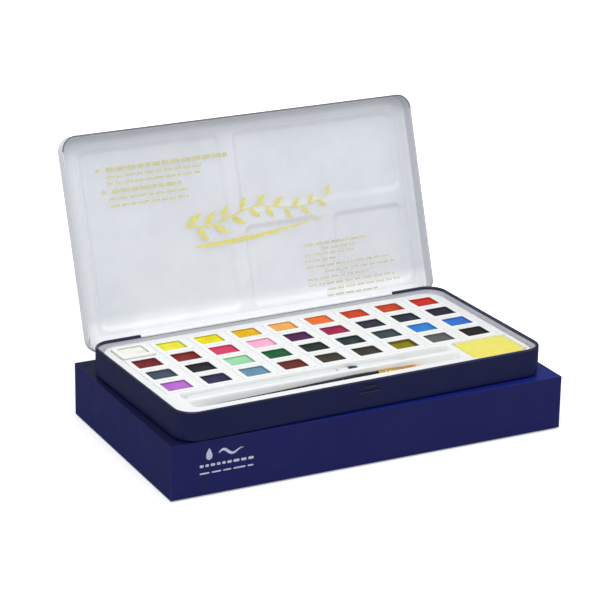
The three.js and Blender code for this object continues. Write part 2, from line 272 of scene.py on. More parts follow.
def within(x, y, box, corner):
    """How far each point lies inside a rectangle with round corners."""
    left, right, front, rear = box
    far_x = np.abs(x - (left + right) / 2) - (right - left) / 2 + corner
    far_y = np.abs(y - (front + rear) / 2) - (rear - front) / 2 + corner
    outside = np.hypot(np.maximum(far_x, 0), np.maximum(far_y, 0))
    return corner - outside - np.minimum(np.maximum(far_x, far_y), 0)


def ease(share):
    share = np.clip(share, 0, 1)
    return share * share * (3 - 2 * share)


def grown(box, by):
    left, right, front, rear = box
    return (left - by, right + by, front - by, rear + by)


def sheet(xs, ys, corner, upper, rim, skin=0.0, floor=None, adjust=None, firm=0.0):
    """A pressed sheet over a grid with round corners, square within a firm share of each corner.

    upper gives the upper face's heights. The lower face follows it a skin below, or is level
    at a floor. rim is the list of (outset, height) that leads round the edge between them.
    Returns points, faces, and for each face the number of its part: 0 is the upper face,
    then one for each strip of the rim, and the lower face last.
    """
    x, y = (axis.ravel() for axis in np.meshgrid(xs, ys))
    past_x = np.maximum(x - xs[-1] + corner, 0) - np.maximum(xs[0] + corner - x, 0)
    past_y = np.maximum(y - ys[-1] + corner, 0) - np.maximum(ys[0] + corner - y, 0)
    length = np.hypot(past_x, past_y)
    square = np.maximum(np.abs(past_x), np.abs(past_y))
    stretch = np.divide(length, square, out=np.ones_like(length), where=square > 0)
    start = firm * corner * stretch
    share = (square - firm * corner) / (corner - firm * corner)
    reach = start + (corner - start) * share
    scale = np.divide(reach, length, out=np.ones_like(length), where=share > 0)
    x, y = x + past_x * (scale - 1), y + past_y * (scale - 1)

    wide, deep = len(xs), len(ys)
    border = [*range(wide), *range(2 * wide - 1, wide * deep, wide)]
    border += [*range(wide * deep - 2, wide * (deep - 1) - 1, -1)]
    border += [*range(wide * (deep - 2), 0, -wide)]
    count = len(border)
    out_x, out_y = past_x[border] / length[border], past_y[border] / length[border]
    rings = []
    for outset, height in rim:
        around = [x[border] + outset * out_x, y[border] + outset * out_y, np.full(count, float(height))]
        rings.append(np.column_stack(around))
    if adjust:
        rings = [adjust(ring, out_y) for ring in rings]

    quads = [(j * wide + i, j * wide + i + 1) for j in range(deep - 1) for i in range(wide - 1)]
    faces = [(a, b, b + wide, a + wide) for a, b in quads]
    parts = [0] * len(quads)
    first = wide * deep
    last = first + count * len(rings)
    hoops = [border, *(range(start, start + count) for start in range(first, last, count))]
    hoops.append([last + index for index in border])
    for part, (upper_hoop, lower_hoop) in enumerate(zip(hoops, hoops[1:]), 1):
        faces += strip(upper_hoop, lower_hoop)
        parts += [part] * count
    faces += [(last + a + wide, last + b + wide, last + b, last + a) for a, b in quads]
    parts += [len(hoops)] * len(quads)
    x_y = np.column_stack([x, y])
    top = np.column_stack([x_y, upper(x, y)])
    under = upper(x, y) - skin if floor is None else np.full(len(x), floor)
    return np.concatenate([top, *rings, np.column_stack([x_y, under])]), faces, parts


def quarter(radius, level, steps=5, way=-1):
    """Outset and height along a quarter circle that turns from level to straight down, or up."""
    angles = np.linspace(0, pi / 2, steps + 1)[1:]
    return [(radius * sin(a), level + way * radius * (1 - cos(a))) for a in angles]


# ---------------- materials


def linear(red, green, blue):
    """A display colour, from 0 to 255, as scene light."""
    shares = [level / 255 for level in (red, green, blue)]
    return tuple(s / 12.92 if s < 0.04 else ((s + 0.055) / 1.055) ** 2.4 for s in shares)


def shade(colour, by):
    return [min(level * by, 1) for level in colour]


class Finish:
    """A Principled material, and short ways to add procedural detail to it."""

    def __init__(self, name, colour, roughness, **inputs):
        self.material = bpy.data.materials.new(name)
        self.material.use_nodes = True
        self.tree = self.material.node_tree
        self.shader = self.tree.nodes["Principled BSDF"]
        self.put(Base_Color=colour, Roughness=roughness, **inputs)
        self.place = self.node("ShaderNodeTexCoord").outputs["Object"]

    def put(self, **inputs):
        for key, value in inputs.items():
            self.feed(self.shader.inputs[key.replace("_", " ")], value)

    def node(self, kind, settings=(), **inputs):
        made = self.tree.nodes.new(kind)
        for key, value in dict(settings).items():
            setattr(made, key, value)
        for key, value in inputs.items():
            self.feed(made.inputs[key.replace("_", " ")], value)
        return made

    def feed(self, socket, value):
        if isinstance(value, bpy.types.NodeSocket):
            self.tree.links.new(value, socket)
        elif socket.type == "RGBA":
            socket.default_value = (*value[:3], 1)
        else:
            socket.default_value = value

    def stretched(self, x, y, z):
        """The place, scaled by its own amount along each axis."""
        return self.node("ShaderNodeMapping", Vector=self.place, Scale=(x, y, z)).outputs[0]

    def grain(self, scale, detail=3.0, place=None):
        made = self.node("ShaderNodeTexNoise", Vector=place or self.place, Scale=scale, Detail=detail)
        return made.outputs[0]

    def cells(self, scale, feature="F1", place=None):
        settings = {"feature": feature}
        vector = place or self.place
        return self.node("ShaderNodeTexVoronoi", settings, Vector=vector, Scale=scale).outputs["Distance"]

    def between(self, value, low, high, to_low=0.0, to_high=1.0):
        made = self.node("ShaderNodeMapRange", {"interpolation_type": "SMOOTHSTEP"}, Value=value)
        for socket, amount in zip(("From Min", "From Max", "To Min", "To Max"), (low, high, to_low, to_high)):
            made.inputs[socket].default_value = amount
        return made.outputs["Result"]

    def times(self, first, second):
        made = self.node("ShaderNodeMath", {"operation": "MULTIPLY"})
        self.feed(made.inputs[0], first)
        self.feed(made.inputs[1], second)
        return made.outputs[0]

    def mottled(self, share, colour, low, high=1.0):
        return self.blend(share, shade(colour, low), shade(colour, high))

    def part(self, vector, axis):
        return self.node("ShaderNodeSeparateXYZ", Vector=vector).outputs[axis]

    def normal(self):
        return self.node("ShaderNodeNewGeometry").outputs["Normal"]

    def blend(self, share, first, second):
        made = self.node("ShaderNodeMix", {"data_type": "RGBA"})
        for socket, value in ((0, share), (6, first), (7, second)):
            self.feed(made.inputs[socket], value)
        return made.outputs[2]

    def worn_edges(self, radius):
        """Strong where the surface turns within a radius, in millimetres."""
        smooth = self.node("ShaderNodeBevel", {"samples": 4}, Radius=radius * MM).outputs[0]
        made = self.node("ShaderNodeVectorMath", {"operation": "DOT_PRODUCT"})
        self.feed(made.inputs[0], smooth)
        self.feed(made.inputs[1], self.normal())
        return self.between(made.outputs["Value"], 0.995, 0.85)

    def rough(self, scale, low, high, detail=3.0):
        """Lets the roughness drift between two values."""
        self.put(Roughness=self.between(self.grain(scale, detail), 0.3, 0.7, low, high))

    def grainy(self, *reliefs):
        """Adds noise relief, each as (scale, detail, depth)."""
        for scale, detail, depth in reliefs:
            self.bump(self.grain(scale, detail), depth)
        return self.material

    def bump(self, height, depth):
        """Adds relief of a depth in millimetres, over any relief that is there already."""
        made = self.node("ShaderNodeBump", Height=height, Distance=depth * MM, Strength=1.0)
        normal = self.shader.inputs["Normal"]
        if normal.links:
            self.feed(made.inputs["Normal"], normal.links[0].from_socket)
        self.feed(normal, made.outputs[0])


def veiled(made, cover):
    """Lets light straight through all but a share of the surface."""
    mixed = made.node("ShaderNodeMixShader")
    made.feed(mixed.inputs[0], cover)
    made.feed(mixed.inputs[1], made.node("ShaderNodeBsdfTransparent").outputs[0])
    made.feed(mixed.inputs[2], made.shader.outputs[0])
    made.feed(made.tree.nodes["Material Output"].inputs["Surface"], mixed.outputs[0])
    return made.material


def laminated_board():
    """Dark blue printed board with a film over it: a painted sheen makes its top bluer, more so towards the right,
    and it is paler along rubbed edges.
    """
    blue = colour_of["carton_board"]
    made = Finish("laminated_board", blue, 0.42, Specular_IOR_Level=0.22, Coat_Weight=0.04)
    red, green, deep = blue
    dull, deeper = (red * 0.66, green * 0.82, deep * 0.98), (red * 0.82, green * 1.0, deep * 1.2)
    cloudy = made.blend(made.grain(30), dull, deeper)
    # Painted sheen: upward faces take a brighter blue, which grows from left to right along X, standing in for
    # light reflected off the top.
    up, along = made.part(made.normal(), "Z"), made.part(made.place, "X")
    top_painted_sheen = made.blend(made.between(along, -0.104, -0.055), linear(24, 26, 66), linear(22, 35, 122))
    with_top_painted_sheen = made.blend(made.between(up, 0.5, 0.95), cloudy, top_painted_sheen)
    rubbed = made.times(made.worn_edges(0.5), made.between(made.grain(260), 0.4, 0.62, 0.05, 0.45))
    made.put(Base_Color=made.blend(rubbed, with_top_painted_sheen, linear(84, 86, 140)))
    made.rough(90, 0.34, 0.46)
    return made.grainy((2600, 4, 0.012), (45, 1, 0.05))


def enamel(name, colour, roughness, coat=0.3, worn_to=None, lit_to=None):
    """Baked enamel on sheet metal: a faint orange peel, uneven gloss, worn on its edges.

    lit_to is a colour that it takes low down, by the hinge, where the white tray shines on it.
    """
    made = Finish(name, colour, roughness, Coat_Weight=coat, Coat_Roughness=0.14)
    cloudy = made.mottled(made.grain(22), colour, 0.93, 1.05)
    if worn_to:
        rubbed = made.times(made.worn_edges(0.4), made.between(made.grain(420), 0.52, 0.72))
        cloudy = made.blend(made.times(rubbed, 0.2), cloudy, worn_to)
    if lit_to:
        hinge_height = lid_hinge["pos_m"][2]
        low = made.between(made.part(made.place, "Z"), hinge_height + 0.01, hinge_height + 0.002)
        cloudy = made.blend(low, cloudy, lit_to)
    made.put(Base_Color=cloudy)
    made.rough(55, roughness * 0.88, roughness * 1.15, 4)
    return made.grainy((600, 1, 0.004))


def moulded_plastic(name, colour, roughness=0.42):
    """White moulded plastic, faintly matt and slightly see-into."""
    made = Finish(name, colour, roughness, Subsurface_Weight=0.15, Subsurface_Scale=0.0015)
    made.put(Subsurface_Radius=(1, 1, 1))
    made.put(Base_Color=made.mottled(made.grain(60), colour, 0.97))
    made.rough(350, roughness * 0.85, roughness * 1.15)
    return made.grainy((3500, 2, 0.004), (25, 0, 0.04))


def dried_paint(node):
    """A cake of dried paint: fine grain, soft blotches, painted shade on its sides where it climbs the tub's
    walls, a glossier skin in places, hair cracks.
    """
    colour = colour_of[slot_of[node]]
    made = Finish("paint_" + node[7:], colour, 0.6, Specular_IOR_Level=0.12)
    offset = float(node[4:6])
    made.place = made.node("ShaderNodeMapping", Vector=made.place, Location=(offset, 0, 0)).outputs[0]
    blotches = made.between(made.grain(140, 3), 0.3, 0.7)
    level = made.blend(blotches, shade(colour, 0.88), [min(c * 1.02 + 0.001, 1) for c in colour])
    # Painted shade: faces that do not face up, where the paint climbs the tub's walls, are darkened to under half
    # of its colour.
    up = made.part(made.normal(), "Z")
    made.put(Base_Color=made.blend(made.between(up, 0.5, 0.96), shade(colour, 0.45), level))
    made.put(Roughness=made.between(made.grain(110), 0.35, 0.65, 0.5, 0.68))
    cracks = made.between(made.cells(150, "DISTANCE_TO_EDGE"), 0.0, 0.025)
    some = made.between(made.grain(70), 0.5, 0.62)
    made.bump(made.times(cracks, some), 0.04)
    return made.grainy((1600, 4, 0.012), (240, 2, 0.05))


def clear_film():
    """A thin clear film with soft wrinkles, only partly see-through."""
    made = Finish("clear_film", linear(232, 234, 240), 0.22, Coat_Weight=0.3)
    made.grainy((18, 1, 0.25))
    made.bump(made.grain(1, 1, made.stretched(12, 160, 160)), 0.04)
    return veiled(made, made.between(made.grain(35), 0.3, 0.7, 0.06, 0.12))


def print_ink(name, colour, cover=1.0):
    """Screen-printed ink, slightly uneven and, where its cover is thin, see-through."""
    made = Finish(name, colour, 0.6, Specular_IOR_Level=0.0)
    made.put(Base_Color=made.mottled(made.between(made.grain(900), 0.35, 0.65), colour, 0.88))
    made.bump(made.grain(2500), 0.01)
    return veiled(made, made.between(made.grain(500), 0.3, 0.7, cover * 0.85, cover))


def lacquer():
    made = Finish("black_lacquer", linear(22, 22, 24), 0.16, Coat_Weight=0.8, Coat_Roughness=0.06)
    dust = made.between(made.grain(1400, 4), 0.6, 0.7)
    made.put(Base_Color=made.blend(made.times(dust, 0.5), linear(20, 20, 22), linear(150, 148, 146)))
    made.rough(300, 0.12, 0.24, 2)
    return made.grainy((300, 1, 0.006))


def polished_metal(name, colour, roughness):
    """Drawn or turned metal, with fine lines round it."""
    made = Finish(name, colour, roughness, Metallic=0.75, Anisotropic=0.4)
    lines = made.grain(1, 3, made.stretched(5200, 160, 160))
    made.put(Base_Color=made.mottled(made.grain(240), colour, 0.85))
    made.put(Roughness=made.between(lines, 0.3, 0.7, roughness * 0.8, roughness * 1.4))
    made.bump(lines, 0.006)
    return made.material


def tinted_hair(name, root, tip, low, high):
    """Hair whose colour runs from root to tip, between two places along the row's X."""
    made = Finish(name, root, 0.45, Specular_IOR_Level=0.6, Sheen_Weight=0.25)
    share = made.between(made.part(made.place, "X"), low, high)
    streaks = made.between(made.grain(1, 2, made.stretched(120, 5000, 5000)), 0.3, 0.7)
    made.put(Base_Color=made.blend(share, made.mottled(streaks, root, 0.75), tip))
    return made.material


def frosted_plastic():
    """Milky see-through plastic."""
    made = Finish("frosted_plastic", linear(240, 243, 243), 0.36, Transmission_Weight=0.2, Coat_Weight=0.1)
    made.put(IOR=1.45)
    made.rough(160, 0.32, 0.42)
    return made.grainy((400, 1, 0.003))


def soft_rubber():
    made = Finish("black_rubber", linear(48, 48, 52), 0.6)
    made.rough(500, 0.5, 0.7)
    return made.grainy((3000, 3, 0.01))


def cellulose_sponge():
    """Pale yellow foam full of small open pores, with painted shade in them."""
    base = linear(230, 220, 86)
    made = Finish("cellulose_sponge", base, 0.85, Subsurface_Weight=0.25, Sheen_Weight=0.2)
    made.put(Subsurface_Scale=0.002)
    pores = made.times(made.between(made.cells(1700), 0.0, 0.4), made.between(made.cells(700), 0.06, 0.35))
    tone = made.mottled(made.grain(120), base, 0.94, 1.04)
    # The pores are painted a darker, deeper yellow: painted shade in them.
    made.put(Base_Color=made.blend(pores, linear(218, 204, 70), tone))
    made.bump(pores, 0.1)
    return made.grainy((4000, 3, 0.03))


def pale_floor():
    """White paper that glows to the eye away from the object, and is darker in reflections."""
    made = Finish("pale_floor", linear(246, 246, 246), 0.7, Specular_IOR_Level=0.05)
    pale = made.blend(made.grain(3), linear(246, 246, 246), linear(249, 249, 249))
    path = made.node("ShaderNodeLightPath").outputs
    bounced = made.blend(path["Is Camera Ray"], linear(176, 176, 180), pale)
    made.put(Base_Color=made.blend(path["Is Glossy Ray"], bounced, linear(96, 96, 100)))
    reach = made.node("ShaderNodeVectorMath", {"operation": "LENGTH"})
    made.feed(reach.inputs[0], made.place)
    glow = made.between(reach.outputs["Value"], 0.13, 0.3, 0.26, 0.75)
    made.put(Emission_Color=(1, 1, 1), Emission_Strength=made.times(glow, path["Is Camera Ray"]))
    return made.material


board = laminated_board()
red, green, blue = colour_of["navy_enamel"]
navy_enamel = enamel("navy_enamel", (red * 0.5, green * 0.62, blue * 1.3), 0.36, 0.06)
bead_navy = (red * 0.45, green * 0.55, blue * 0.9)
bead_enamel = enamel("bead_enamel", bead_navy, 0.32, 0.1, linear(96, 98, 124))
white_enamel = enamel("white_enamel", linear(228, 231, 235), 0.34, 0.2, lit_to=linear(252, 253, 254))
outer_enamel = enamel("outer_enamel", linear(238, 239, 243), 0.36, 0.15)
# Painted shade: a grey copy of the white enamel for the lid's inner skirt, which faces down.
skirt_painted_shade = enamel("skirt_painted_shade", linear(203, 204, 211), 0.4, 0.1)
# The tin's inside: a brighter, bluer white than the lid's white enamel, as painted light on its shaded inner
# walls.
inner_enamel_painted_light = enamel("inner_enamel_painted_light", linear(244, 244, 251), 0.4, 0.1)
# Painted shade: a near-black navy for the grooves pressed into the tin's front.
groove_painted_shade = enamel("groove_painted_shade", linear(13, 15, 44), 0.5, 0.0)
# Painted shade: a dark grey for the rolled hem and the top of the inner skirt along the lid's far edge.
hem_painted_shade = enamel("hem_painted_shade", linear(118, 118, 128), 0.35, 0.1)
steel = polished_metal("hinge_steel", colour_of["hinge_steel"], 0.3)
brass = polished_metal("ferrule_brass", linear(244, 196, 104), 0.34)
white_plastic = moulded_plastic("white_plastic", linear(238, 239, 238))
pan_plastic = moulded_plastic("pan_plastic", linear(241, 241, 239), 0.38)
gold_ink = print_ink("gold_ink", linear(236, 227, 128), 0.8)
pale_gold_ink = print_ink("pale_gold_ink", linear(224, 218, 150), 0.44)
faint_gold_ink = print_ink("faint_gold_ink", linear(226, 218, 160), 0.32)
white_ink = print_ink("white_ink", linear(206, 208, 226))


# ---------------- carton


BOARD_EDGE = 0.35  # radius to which the board's edges are rounded


def carton():
    """The CAD nodes themselves, in board with rounded edges."""
    for node in ("carton_base", "carton_lid"):
        piece = frame["nodes"][node]
        piece.data.materials.clear()
        piece.data.materials.append(board)
        bevel = piece.modifiers.new("round_edges", "BEVEL")
        bevel.width = BOARD_EDGE * MM
        bevel.segments = 3
        bevel.limit_method = "ANGLE"
        bevel.harden_normals = True


def carton_print():
    """A plain droplet, a brush wave and bars, where a maker's print would be."""
    front = placed(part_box("carton_lid")[0], (1, 0, 0), (0, -1, 0))
    faces = (-0.02, 0.04)  # the print's underside and top, from the board's face
    drop = []
    for angle in np.linspace(0, tau, 40, endpoint=False):
        pull = 0.5 * (1 - sin(angle))
        width = 2.3 * cos(angle) * (0.25 + 0.75 * pull ** 0.8)
        drop.append((20.8 + width, 21.6 + 3.1 * sin(angle)))
    shape = Shape(*slab(np.array(drop), *faces), white_ink)
    t = np.linspace(0, 1, 60)
    wave = np.column_stack([26 + 13.5 * t, 21.3 + 1.7 * np.sin(t * 2.6 * pi) * (1 - 0.5 * t)])
    shape.add(*stroke(wave, 0.25 + 1.25 * np.sin(pi * t ** 0.7), *faces), white_ink)
    rows = dashes(random.Random(4), 15.6, 45.4, 15.6, 1.4, 2.6, 0.9)
    rows += dashes(random.Random(9), 15.6, 45, 11.6, 0.8, 5.5, 1.2)
    for place in rows:
        shape.add(*bar(*place, *faces), white_ink)
    hang("carton_print", to_mesh("carton_print", shape, front), "carton_lid")


def bar(left, width, height, up, low, high):
    """A small round-ended plate."""
    ring = box_ring(width / 2, height / 2, min(width, height) * 0.35, 0, 3)[:, :2]
    return slab(ring + (left + width / 2, up), low, high)


def dashes(chance, left, right, up, height, length, gap):
    """Splits a row from left to right into short plain bars of uneven length."""
    row = []
    while left < right - gap:
        width = min(length * chance.uniform(0.7, 1.3), right - left)
        row.append((left, width, height, up))
        left += width + gap
    return row


# ---------------- tin base

# The two lines pressed into the tin's front: (left, right, height, half height).
CATCHES = [(-4.0, 3.0, 13.0, 0.5), (-7.5, 6.0, 10.05, 0.55)]
CATCH_DEPTH = 0.35
FOOT = 4  # the wall below this height is the same all round


def tin_base():
    rim = HINGE.z
    low_rim = rim - BEAD - KNUCKLE_GAP
    gap = KNUCKLE_HIGH + KNUCKLE_GAP
    inner = FLOOR_EDGE - SHEET
    side, end = WALL_Y - FLOOR_EDGE, WALL_X - FLOOR_EDGE
    catch_ends = [x for catch in CATCHES for x in catch[:2]]
    xs = grid_lines(-end, end, 4, [-gap, gap, *catch_ends], 1.2, 0.3)
    ys = grid_lines(-side, side, 4, [], 0, 1)
    squeeze = (low_rim - FOOT) / (rim - FOOT)

    def pressed(ring, out_y):
        """Lowers the wall behind the knuckle and presses the two catch lines into the front."""
        x, y, z = ring.T.copy()
        behind = (out_y > 0.99) & (np.abs(x) < gap)
        z = np.where(behind & (z > FOOT), FOOT + (z - FOOT) * squeeze, z)
        front = (out_y < -0.99).astype(float)
        for left, right, level, half in CATCHES:
            along = ease((x - left) / 0.9) * ease((right - x) / 0.9)
            y = y + CATCH_DEPTH * front * along * ease(1.4 - np.abs(z - level) / half)
        return np.column_stack([x, y, z])

    heights = [FOOT, 8, *np.arange(9, 14.2, 0.22), 14.6]
    rings = quarter(inner, SHEET, way=1) + [(inner, z) for z in [*heights, rim]]
    inside = len(rings)
    rings += [(FLOOR_EDGE, z) for z in [rim, *reversed(heights)]] + quarter(FLOOR_EDGE, 0, way=1)[::-1]
    corner = WALL_CORNER - FLOOR_EDGE
    points, faces, parts = sheet(xs, ys, corner, lambda x, y: x * 0 + SHEET, rings, SHEET, adjust=pressed)

    def finish_of(part, middle):
        x, y, z = middle
        # Inside, the floor and walls take the brighter, bluer inner white, and the rear wall above the foot the
        # plainer outer white: two copies of one white enamel toned for how light falls, painted light.
        if part <= inside:
            return outer_enamel if y > side and z > FOOT else inner_enamel_painted_light
        # Painted shade: the grooves pressed into the front take the near-black navy.
        painted_shade_in_groove = abs(x) < 8 and z > 6 and -WALL_Y + 0.12 < y < 0
        return groove_painted_shade if painted_shade_in_groove else navy_enamel

    middles = [points[list(face)].mean(0) for face in faces]
    shape = Shape(points, faces, [finish_of(*pair) for pair in zip(parts, middles)])
    shape.add(*bead(gap, rim), bead_enamel)
    build("tin_base", shape)


def bead(gap, rim):
    """The curled bead round the rim, open behind the knuckle."""
    ring = box_ring(WALL_X - BEAD, HINGE.y, WALL_CORNER - BEAD, rim, 14)
    start = int(np.argmin(np.where(ring[:, 1] > HINGE.y - 0.01, ring[:, 0], np.inf)))
    path = np.concatenate([ring[start:], ring[:start]])
    path = np.concatenate([[(-gap, HINGE.y, rim)], path, [(gap, HINGE.y, rim)]])
    sweep = []
    for index, point in enumerate(path):
        ahead = path[min(index + 1, len(path) - 1)] - path[max(index - 1, 0)]
        heading = Vector(ahead).normalized()
        out = Vector((-heading.y, heading.x, 0)) * -1
        turns = [out * cos(a) + Vector((0, 0, sin(a))) for a in np.arange(16) * tau / 16]
        sweep.append([Vector(point) + BEAD * turn for turn in turns])
    return loft([np.array(section) for section in sweep])


def hinge_wire():
    low, high = span("hinge_wire")
    radius = (high.z - low.z) / 2
    profile = [(low.x, radius * 0.6), (low.x + 0.2, radius), (high.x - 0.2, radius), (high.x, radius * 0.6)]
    build("hinge_wire", Shape(*turned(profile, HINGE.y, HINGE.z, 20), steel))


# ---------------- tin lid

LID_LOW, LID_HIGH = span("tin_lid", LID)
LID_TOP = LID_HIGH.z - WELL_DEPTH
LID_RIM = BEAD + 0.3
LID_BACK = LID_HIGH.y  # the rear skirt hangs this far behind the hinge
LID_FRONT = LID_LOW.y
LID_SIDE = LID_HIGH.x
LEAF = 3.3  # height of the strip between the knuckle and the rear skirt
LEAF_START = -3.5  # the skirt is cut away towards the leaf from here, over LEAF_RUN
LEAF_RUN = 4
HEM = 0.3  # the skirt's open edge is rolled outward by this much
CURL = 0.24  # thickness of the curled knuckle


def lid_top(x, y):
    raised = [ease(within(x, y, well, WELL_CORNER) / WELL_FLANK) for well in WELLS]
    return LID_TOP + sum(raised) * WELL_DEPTH


def tin_lid():
    def lines(first, last, edges):
        near = [edge + shift for edge in edges for shift in (-3, 0, 3)]
        return grid_lines(first + LID_EDGE, last - LID_EDGE, 2.5, near, 3.2, 0.55)

    xs = lines(-LID_SIDE, LID_SIDE, {x for well in WELLS for x in well[:2]})
    ys = lines(LID_FRONT, LID_BACK, {y for well in WELLS for y in well[2:]})
    inner = LID_EDGE - SHEET
    middle = (LID_TOP + LID_RIM) / 2
    rim = quarter(LID_EDGE, LID_TOP) + [(LID_EDGE, middle), (LID_EDGE, LID_RIM + 2.6 * HEM)]
    hem = len(rim) + 1
    rolled = [(0.1, 0.3), (0.7, 0.2), (1.0, 0.0), (1.0, -0.35), (0.75, -0.75), (0.3, -0.98)]
    rim += [(LID_EDGE + HEM * out, LID_RIM + HEM * (1 + 1.2 * up)) for out, up in rolled]
    skirt = hem + len(rolled)
    rim += [(LID_EDGE - 0.2, LID_RIM), (inner + 0.05, LID_RIM + 0.12), (inner, LID_RIM + 0.4)]
    rim.append((inner, middle))
    inside = len(rim) + 2
    rim += quarter(inner, LID_TOP - SHEET)[::-1]

    def cut_short(ring, _):
        """Lifts the skirt's edge to the leaf behind the hinge."""
        x, y, z = ring.T
        lifted = LEAF + (z - LID_RIM) * (LID_TOP - LEAF) / (LID_TOP - LID_RIM)
        share = ease((y - LEAF_START) / LEAF_RUN)
        return np.column_stack([x, y, z + share * (lifted - z)])

    def finish_of(part, corner):
        # Along the lid's far edge the rolled hem and the top of its inner skirt are painted dark grey: painted
        # shade.
        if hem <= part < skirt + 3 and corner[1] < LID_FRONT + LID_CORNER:
            return hem_painted_shade
        if part < hem:
            return outer_enamel
        if part < skirt or part >= inside:
            return white_enamel
        # By the hinge the inner skirt takes the lighter outer white, as painted light; elsewhere it takes the grey
        # copy, as painted shade.
        rear = corner[1] > LID_BACK - LID_CORNER and abs(corner[0]) < LID_SIDE - LID_CORNER
        return outer_enamel if rear else skirt_painted_shade

    points, faces, parts = sheet(xs, ys, LID_CORNER - LID_EDGE, lid_top, rim, SHEET, adjust=cut_short)
    corners = [points[face[0]] for face in faces]
    shape = Shape(points, faces, [finish_of(*pair) for pair in zip(parts, corners)])
    shape.add(*knuckle(), outer_enamel)
    half, front, rear = LID_SIDE - LID_CORNER + 1, -0.4, LID_BACK - 0.2
    outline = np.array([(-half, front), (half, front), (half, rear), (-half, rear)])
    shape.add(*slab(outline, LEAF, LEAF + SHEET), outer_enamel)
    build("tin_lid", shape, LID, 50)


def knuckle():
    """The skirt's edge curled round the hinge wire, as one cross-section drawn along X."""
    angles = np.radians(np.arange(100, -221, -12))
    turns = np.column_stack([np.cos(angles), np.sin(angles)])
    inside = turns[::-1] * (BEAD - CURL)
    section = np.concatenate([[(-0.05, LEAF + 0.3)], turns * BEAD, inside, [(-0.4, LEAF + 0.3)]])
    ends = [np.full(len(section), x) for x in (KNUCKLE_LOW, KNUCKLE_HIGH)]
    return loft([np.column_stack([end, section]) for end in ends])


# ---------------- printed film


def film():
    low, high = span("printed_film", LID)
    xs = grid_lines(low.x + 0.3, high.x - 0.3, 3, [], 0, 1)
    ys = grid_lines(low.y + 0.3, high.y - 0.3, 3, [], 0, 1)
    middle = (low.z + high.z) / 2

    def wavy(x, y):
        waves = [0.08 * noise.noise(Vector((a * 0.03, b * 0.04, 1))) for a, b in zip(x, y)]
        return middle + 0.04 + np.array(waves)

    rim = [(0.05, middle + 0.01), (0.05, middle - 0.01)]
    points, faces, _ = sheet(xs, ys, 2.5, wavy, rim, 0.08)
    build("printed_film", Shape(points, faces, clear_film()), LID)
    return low.z


# Rows of plain bars on the film: (from the hinge, left, right, height).
FIRST_BLOCK = [
    (-89.5, -80, -8, 2.3), (-85.5, -80, -24, 1.2), (-81.9, -80, -24, 1.2),
    (-77.7, -78, -37, 2.1), (-73.8, -80.5, -34, 1.2), (-70.0, -80, -34, 1.2),
]
SECOND_BLOCK = [
    (-33.5, 31.5, 71, 1.3), (-30.4, 42, 66, 1.0), (-27.6, 31, 63, 1.0), (-24.4, 31, 52, 1.0),
    (-21.0, 31, 84, 1.1), (-17.6, 42, 88, 1.0), (-14.2, 31, 70, 1.0), (-10.8, 31, 86, 1.1),
    (-7.4, 42, 90, 1.0), (-4.0, 42, 74, 1.0),
]


def leaf(root, turn, length, low, high):
    """A flat pointed leaf that grows from a point in plan."""
    t = np.linspace(0, 1, 14)
    bend = 0.35 * length * t * (1 - t)
    x, y = cos(turn), sin(turn)
    path = root + np.outer(length * t, (x, y)) + np.outer(bend * np.sign(turn), (-y, x))
    return stroke(path, 0.12 + 0.3 * length * np.sin(pi * t**0.8) ** 1.1, low, high)


def film_print(face):
    """A leafy sprig with a long underline, and blocks of plain bars."""
    faces = (face - 0.06, face + 0.02)
    t = np.linspace(0, 1, 90)
    stem = np.column_stack([-39 + 92 * t, -54 - 5 * t + 2.6 * np.sin(t * 3.2 * pi)])
    sprig = Shape(*stroke(stem, 0.9 - 0.5 * t, *faces), gold_ink)
    for index, at in enumerate(np.linspace(3, 86, 17)):
        root = stem[int(at)]
        heading = stem[int(at) + 1] - root
        turn = atan2(heading[1], heading[0]) + (0.85 if index % 2 else -0.85)
        sprig.add(*leaf(root, turn, 10.5 - 4.5 * at / 89, *faces), gold_ink)
    under = np.column_stack([-34 + 81 * t, -42 - 6.6 * t + 2.2 * np.sin(pi * t)])
    sprig.add(*stroke(under, 0.3 + 1.9 * np.sin(pi * t ** 0.55) ** 1.2, *faces), gold_ink)

    chance = random.Random(12)
    bars = Shape()
    for block, ink in ((FIRST_BLOCK, pale_gold_ink), (SECOND_BLOCK, faint_gold_ink)):
        for from_hinge, left, right, height in block:
            for place in dashes(chance, left, right, from_hinge, height, 5, 0.8):
                bars.add(*bar(*place, *faces), ink)
    for from_hinge, left in ((-89.5, -86), (-77.7, -84)):
        bars.add(*bar(left, 2.2, 2.2, from_hinge, *faces), pale_gold_ink)
    for name, shape in (("film_sprig", sprig), ("film_bars", bars)):
        hang(name, to_mesh(name, shape, LID), "printed_film").visible_shadow = False


# ---------------- tray


POCKET_PLAY = 0.1  # gap round a pan
POCKET_FLANK = 0.2  # run of a pocket's steep wall
CHANNEL_PLAY = 0.5
CHANNEL_FLANK = 2.2
SPONGE_FLANK = 0.55


def around(node, play):
    """The rectangle in plan round a node."""
    low, high = span(node)
    return grown((low.x, high.x, low.y, high.y), play)


def tray_features(top):
    """Every hollow pressed into the tray, as (box, corner, depth, flank)."""
    deep = top - span(PANS[1])[0].z + 0.3
    pockets = [(around(node, POCKET_PLAY), 1.1, deep, POCKET_FLANK) for node in PANS]
    channels = [(grown(box, CHANNEL_PLAY), 4.2, top - floor, CHANNEL_FLANK) for box, floor in CHANNELS]
    well = top - span("sponge")[0].z + 0.3
    return [*pockets, *channels, (around("sponge", CHANNEL_PLAY), 4.2, well, SPONGE_FLANK)]


